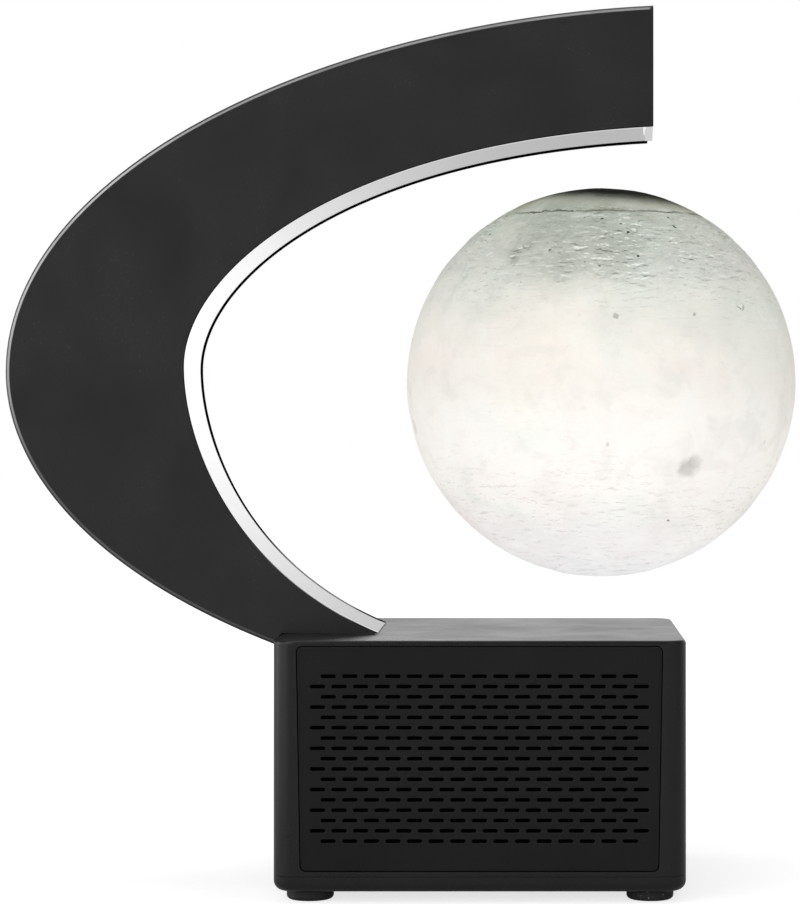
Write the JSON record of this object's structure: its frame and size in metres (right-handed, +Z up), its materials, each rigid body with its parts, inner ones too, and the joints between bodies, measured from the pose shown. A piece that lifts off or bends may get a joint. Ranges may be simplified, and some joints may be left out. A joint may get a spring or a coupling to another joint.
{
  "type": "moon lamp",
  "caption": "Table lamp whose lit moon floats under the tip of a hollow C-shaped arm with a light band, standing on a box base with a slotted loudspeaker front.",
  "frame": {"origin": "under the middle of the lamp's outline, on the table", "axes": "+X to the right seen from the front, +Y away from the viewer, +Z up"},
  "size_m": [0.2, 0.1, 0.2219],
  "materials": {
    "arm_black": "satin",
    "base_black": "satin",
    "panel_black": "matte",
    "diffuser_white": "frosted, lit",
    "reflector_white": "matte",
    "led_yellow": "matte",
    "bobbin_plastic": "matte",
    "copper": "enamelled wire",
    "core_steel": "plain",
    "plate_steel": "plain",
    "screw_steel": "blackened",
    "board_green": "solder mask",
    "board_white": "white board with a light",
    "cable_grey": "matte",
    "foot_rubber": "matte",
    "basket_steel": "satin",
    "cone_paper": "matte",
    "surround_rubber": "matte",
    "spider_cloth": "resin-stiffened",
    "button_black": "matte",
    "switch_plastic": "matte",
    "socket_black": "matte",
    "moon_pale": "printed, lit from inside",
    "magnet_nickel": "nickel-plated"
  },
  "bodies": {
    "lamp": {"arm_cable": "cable_grey", "arm_front_shell": "arm_black", "arm_led_strip": "led_yellow", "arm_light_diffuser": "diffuser_white", "arm_mounting_plate": "plate_steel", "arm_rear_shell": "arm_black", "arm_reflector": "reflector_white", "arm_screw_1": "screw_steel", "arm_screw_2": "screw_steel", "arm_screw_3": "screw_steel", "arm_screw_4": "screw_steel", "base_bottom_cover": "base_black", "base_foot_1": "foot_rubber", "base_foot_2": "foot_rubber", "base_foot_3": "foot_rubber", "base_foot_4": "foot_rubber", "base_housing": "base_black", "board_screw_1": "screw_steel", "board_screw_2": "screw_steel", "control_board": "board_green", "cover_screw_1": "screw_steel", "cover_screw_2": "screw_steel", "cover_screw_3": "screw_steel", "cover_screw_4": "screw_steel", "dc_inlet": "socket_black", "electromagnet_bobbin": "bobbin_plastic", "electromagnet_core": "core_steel", "electromagnet_winding": "copper", "front_grille": "panel_black", "hall_sensor_board": "board_green", "mounting_screw_1": "screw_steel", "mounting_screw_2": "screw_steel", "speaker_basket": "basket_steel", "speaker_magnet": "core_steel", "speaker_screw_1": "screw_steel", "speaker_screw_2": "screw_steel", "speaker_screw_3": "screw_steel", "speaker_screw_4": "screw_steel", "speaker_spider": "spider_cloth", "speaker_surround": "surround_rubber", "switch_1": "switch_plastic", "switch_2": "switch_plastic", "switch_3": "switch_plastic", "wireless_power_coil": "copper"},
    "moon_magnet_body": {"moon_magnet": "magnet_nickel"},
    "moon_body": {"moon_shell": "moon_pale", "moon_top_cap": "moon_pale", "moon_receiver_coil": "copper", "moon_led_board": "board_white"},
    "volume_down_body": {"button_volume_down": "button_black"},
    "power_body": {"button_power": "button_black"},
    "volume_up_body": {"button_volume_up": "button_black"},
    "cone_body": {"speaker_cone": "cone_paper", "speaker_dust_cap": "cone_paper", "speaker_voice_coil": "copper"}
  },
  "joints": [
    {"name": "moon_pull_off", "type": "slide", "parent": "lamp", "child": "moon_magnet_body", "axis": [1, 0, 0], "range_m": [0, 0.09]},
    {"name": "moon_spin", "type": "hinge", "parent": "moon_magnet_body", "child": "moon_body", "pos_m": [0.05, 0, 0.1275], "axis": [0, 0, 1], "continuous": true},
    {"name": "volume_down_press", "type": "slide", "parent": "lamp", "child": "volume_down_body", "axis": [0, -1, 0], "range_m": [0, 0.0006], "stiffness_N_per_m": 600, "springref_m": -0.001},
    {"name": "power_press", "type": "slide", "parent": "lamp", "child": "power_body", "axis": [0, -1, 0], "range_m": [0, 0.0006], "stiffness_N_per_m": 600, "springref_m": -0.001},
    {"name": "volume_up_press", "type": "slide", "parent": "lamp", "child": "volume_up_body", "axis": [0, -1, 0], "range_m": [0, 0.0006], "stiffness_N_per_m": 600, "springref_m": -0.001},
    {"name": "cone_stroke", "type": "slide", "parent": "lamp", "child": "cone_body", "axis": [0, -1, 0], "range_m": [-0.001, 0.001], "stiffness_N_per_m": 400}
  ]
}
